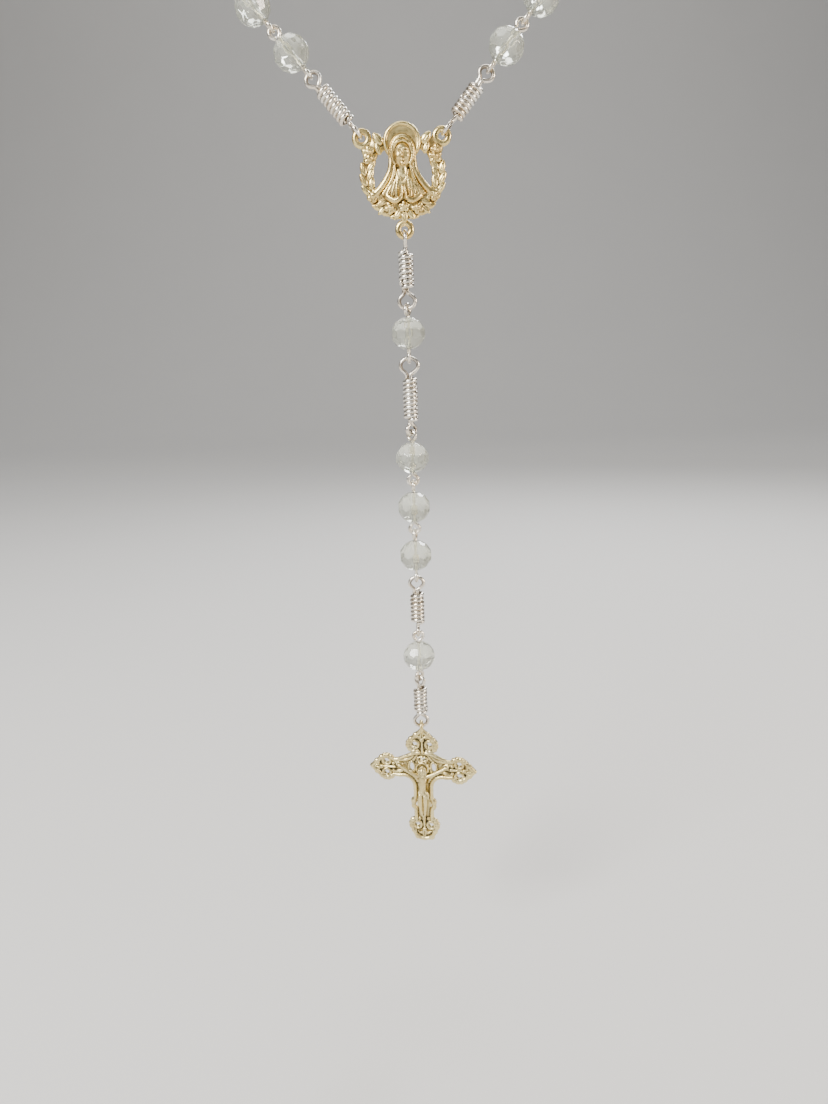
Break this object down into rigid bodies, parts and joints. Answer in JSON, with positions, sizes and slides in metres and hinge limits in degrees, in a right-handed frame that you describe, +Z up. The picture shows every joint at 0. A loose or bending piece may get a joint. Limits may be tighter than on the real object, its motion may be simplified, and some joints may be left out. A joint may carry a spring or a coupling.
{
  "type": "rosary",
  "caption": "Rosary of faceted glass beads on wire eye links, with wound coil links, an openwork centre medal and a hanging filigree crucifix.",
  "frame": {"origin": "middle of the chain at the nape of the neck, where it rests when worn", "axes": "+Z up, -Y to the front, +X to the viewer's right when seen from the front; the pendant and the two front strands lie in a plane of constant Y"},
  "size_m": [0.154, 0.1688, 0.4023],
  "materials": {
    "silver_wire": "silver-tone wire, slightly warm, worn and unpolished in the grooves",
    "glass": "clear faceted glass with a faint straw-green tint and soft worn edges",
    "antique_gold": "antique gold-tone casting with dark recesses",
    "pale_gold": "pale gold casting with dark patina along its edges"
  },
  "bodies": {
    "neck": {"neck_pins": "silver_wire", "neck_beads": "glass", "neck_coils": "silver_wire"},
    "both_coils_3": {"left_coil_3": "silver_wire", "right_coil_3": "silver_wire"},
    "both_large_pins": {"left_large_pin": "silver_wire", "right_large_pin": "silver_wire"},
    "left_large_bead": {"left_large_bead": "glass"},
    "right_large_bead": {"right_large_bead": "glass"},
    "both_coils_2": {"left_coil_2": "silver_wire", "right_coil_2": "silver_wire"},
    "both_beads_9_10": {"left_pins_9_10": "silver_wire", "left_beads_9_10": "glass", "right_pins_9_10": "silver_wire", "right_beads_9_10": "glass"},
    "both_beads_7_8": {"left_pins_7_8": "silver_wire", "left_beads_7_8": "glass", "right_pins_7_8": "silver_wire", "right_beads_7_8": "glass"},
    "both_beads_5_6": {"left_pins_5_6": "silver_wire", "left_beads_5_6": "glass", "right_pins_5_6": "silver_wire", "right_beads_5_6": "glass"},
    "both_beads_3_4": {"left_pins_3_4": "silver_wire", "left_beads_3_4": "glass", "right_pins_3_4": "silver_wire", "right_beads_3_4": "glass"},
    "both_pins_2": {"left_pin_2": "silver_wire", "right_pin_2": "silver_wire"},
    "left_bead_2": {"left_bead_2": "glass"},
    "right_bead_2": {"right_bead_2": "glass"},
    "both_pins_1": {"left_pin_1": "silver_wire", "right_pin_1": "silver_wire"},
    "left_bead_1": {"left_bead_1": "glass"},
    "right_bead_1": {"right_bead_1": "glass"},
    "both_coils_1": {"left_coil_1": "silver_wire", "right_coil_1": "silver_wire"},
    "medal": {"medal": "antique_gold"},
    "pendant_coil_1": {"pendant_coil_1": "silver_wire"},
    "pendant_pin_2": {"pendant_pin_2": "silver_wire"},
    "pendant_bead_2": {"pendant_bead_2": "glass"},
    "pendant_coil_3": {"pendant_coil_3": "silver_wire"},
    "pendant_pin_4": {"pendant_pin_4": "silver_wire"},
    "pendant_bead_4": {"pendant_bead_4": "glass"},
    "pendant_pin_5": {"pendant_pin_5": "silver_wire"},
    "pendant_bead_5": {"pendant_bead_5": "glass"},
    "pendant_pin_6": {"pendant_pin_6": "silver_wire"},
    "pendant_bead_6": {"pendant_bead_6": "glass"},
    "pendant_coil_7": {"pendant_coil_7": "silver_wire"},
    "pendant_pin_8": {"pendant_pin_8": "silver_wire"},
    "pendant_bead_8": {"pendant_bead_8": "glass"},
    "pendant_coil_9": {"pendant_coil_9": "silver_wire"},
    "crucifix": {"crucifix": "pale_gold"}
  },
  "joints": [
    {"name": "both_coils_3_swing", "type": "hinge", "parent": "neck", "child": "both_coils_3", "pos_m": [0, -0.1613, -0.04951], "axis": [1, 0, 0], "range_deg": [-40, 40]},
    {"name": "both_large_pins_swing", "type": "hinge", "parent": "both_coils_3", "child": "both_large_pins", "pos_m": [0, -0.1613, -0.06611], "axis": [-1, 0, 0], "range_deg": [-40, 40]},
    {"name": "left_large_bead_spin", "type": "hinge", "parent": "both_large_pins", "child": "left_large_bead", "pos_m": [-0.07302, -0.1613, -0.07281], "axis": [0, 0, 1], "continuous": true},
    {"name": "right_large_bead_spin", "type": "hinge", "parent": "both_large_pins", "child": "right_large_bead", "pos_m": [0.07302, -0.1613, -0.07281], "axis": [0, 0, 1], "continuous": true},
    {"name": "both_coils_2_swing", "type": "hinge", "parent": "both_large_pins", "child": "both_coils_2", "pos_m": [0, -0.1613, -0.07856], "axis": [1, 0, 0], "range_deg": [-40, 40]},
    {"name": "both_beads_9_10_swing", "type": "hinge", "parent": "both_coils_2", "child": "both_beads_9_10", "pos_m": [0, -0.1613, -0.09516], "axis": [-1, 0, 0], "range_deg": [-40, 40]},
    {"name": "both_beads_7_8_swing", "type": "hinge", "parent": "both_beads_9_10", "child": "both_beads_7_8", "pos_m": [0, -0.1613, -0.11984], "axis": [1, 0, 0], "range_deg": [-40, 40]},
    {"name": "both_beads_5_6_swing", "type": "hinge", "parent": "both_beads_7_8", "child": "both_beads_5_6", "pos_m": [0, -0.1613, -0.14362], "axis": [-1, 0, 0], "range_deg": [-30, 30]},
    {"name": "both_beads_3_4_swing", "type": "hinge", "parent": "both_beads_5_6", "child": "both_beads_3_4", "pos_m": [0, -0.1613, -0.1658], "axis": [1, 0, 0], "range_deg": [-30, 30]},
    {"name": "both_pins_2_swing", "type": "hinge", "parent": "both_beads_3_4", "child": "both_pins_2", "pos_m": [0, -0.1613, -0.18568], "axis": [-1, 0, 0], "range_deg": [-30, 30]},
    {"name": "left_bead_2_spin", "type": "hinge", "parent": "both_pins_2", "child": "left_bead_2", "pos_m": [-0.03213, -0.1613, -0.19085], "axis": [-0.6361, 0, 0.7716], "continuous": true},
    {"name": "right_bead_2_spin", "type": "hinge", "parent": "both_pins_2", "child": "right_bead_2", "pos_m": [0.03213, -0.1613, -0.19085], "axis": [0.6361, 0, 0.7716], "continuous": true},
    {"name": "both_pins_1_swing", "type": "hinge", "parent": "both_pins_2", "child": "both_pins_1", "pos_m": [0, -0.1613, -0.19529], "axis": [1, 0, 0], "range_deg": [-30, 30]},
    {"name": "left_bead_1_spin", "type": "hinge", "parent": "both_pins_1", "child": "left_bead_1", "pos_m": [-0.02421, -0.1613, -0.20046], "axis": [-0.6361, 0, 0.7716], "continuous": true},
    {"name": "right_bead_1_spin", "type": "hinge", "parent": "both_pins_1", "child": "right_bead_1", "pos_m": [0.02421, -0.1613, -0.20046], "axis": [0.6361, 0, 0.7716], "continuous": true},
    {"name": "both_coils_1_swing", "type": "hinge", "parent": "both_pins_1", "child": "both_coils_1", "pos_m": [0, -0.1613, -0.2049], "axis": [-1, 0, 0], "range_deg": [-30, 30]},
    {"name": "medal_swing", "type": "hinge", "parent": "both_coils_1", "child": "medal", "pos_m": [0, -0.1613, -0.21749], "axis": [1, 0, 0], "range_deg": [-40, 40]},
    {"name": "pendant_coil_1_swing", "type": "hinge", "parent": "medal", "child": "pendant_coil_1", "pos_m": [0, -0.1613, -0.24019], "axis": [1, 0, 0], "range_deg": [-60, 60]},
    {"name": "pendant_pin_2_swing", "type": "hinge", "parent": "pendant_coil_1", "child": "pendant_pin_2", "pos_m": [0, -0.1613, -0.25557], "axis": [0.2588, 0.9659, 0], "range_deg": [-60, 60]},
    {"name": "pendant_bead_2_spin", "type": "hinge", "parent": "pendant_pin_2", "child": "pendant_bead_2", "pos_m": [0, -0.1613, -0.26227], "axis": [0, 0, 1], "continuous": true},
    {"name": "pendant_coil_3_swing", "type": "hinge", "parent": "pendant_pin_2", "child": "pendant_coil_3", "pos_m": [0, -0.1613, -0.26802], "axis": [-1, 0, 0], "range_deg": [-60, 60]},
    {"name": "pendant_pin_4_swing", "type": "hinge", "parent": "pendant_coil_3", "child": "pendant_pin_4", "pos_m": [0, -0.1613, -0.28552], "axis": [0.7071, -0.7071, 0], "range_deg": [-60, 60]},
    {"name": "pendant_bead_4_spin", "type": "hinge", "parent": "pendant_pin_4", "child": "pendant_bead_4", "pos_m": [0, -0.1613, -0.29222], "axis": [0, 0, 1], "continuous": true},
    {"name": "pendant_pin_5_swing", "type": "hinge", "parent": "pendant_pin_4", "child": "pendant_pin_5", "pos_m": [0, -0.1613, -0.29797], "axis": [0, -1, 0], "range_deg": [-60, 60]},
    {"name": "pendant_bead_5_spin", "type": "hinge", "parent": "pendant_pin_5", "child": "pendant_bead_5", "pos_m": [0, -0.1613, -0.30467], "axis": [0, 0, 1], "continuous": true},
    {"name": "pendant_pin_6_swing", "type": "hinge", "parent": "pendant_pin_5", "child": "pendant_pin_6", "pos_m": [0, -0.1613, -0.31137], "axis": [1, 0, 0], "range_deg": [-60, 60]},
    {"name": "pendant_bead_6_spin", "type": "hinge", "parent": "pendant_pin_6", "child": "pendant_bead_6", "pos_m": [0, -0.1613, -0.31712], "axis": [0, 0, 1], "continuous": true},
    {"name": "pendant_coil_7_swing", "type": "hinge", "parent": "pendant_pin_6", "child": "pendant_coil_7", "pos_m": [0, -0.1613, -0.32382], "axis": [0, 1, 0], "range_deg": [-60, 60]},
    {"name": "pendant_pin_8_swing", "type": "hinge", "parent": "pendant_coil_7", "child": "pendant_pin_8", "pos_m": [0, -0.1613, -0.33747], "axis": [-0.9848, -0.1736, 0], "range_deg": [-60, 60]},
    {"name": "pendant_bead_8_spin", "type": "hinge", "parent": "pendant_pin_8", "child": "pendant_bead_8", "pos_m": [0, -0.1613, -0.34417], "axis": [0, 0, 1], "continuous": true},
    {"name": "pendant_coil_9_swing", "type": "hinge", "parent": "pendant_pin_8", "child": "pendant_coil_9", "pos_m": [0, -0.1613, -0.35087], "axis": [-0.6428, -0.766, 0], "range_deg": [-60, 60]},
    {"name": "crucifix_swing", "type": "hinge", "parent": "pendant_coil_9", "child": "crucifix", "pos_m": [0, -0.1613, -0.36387], "axis": [1, 0, 0], "range_deg": [-60, 60]}
  ]
}
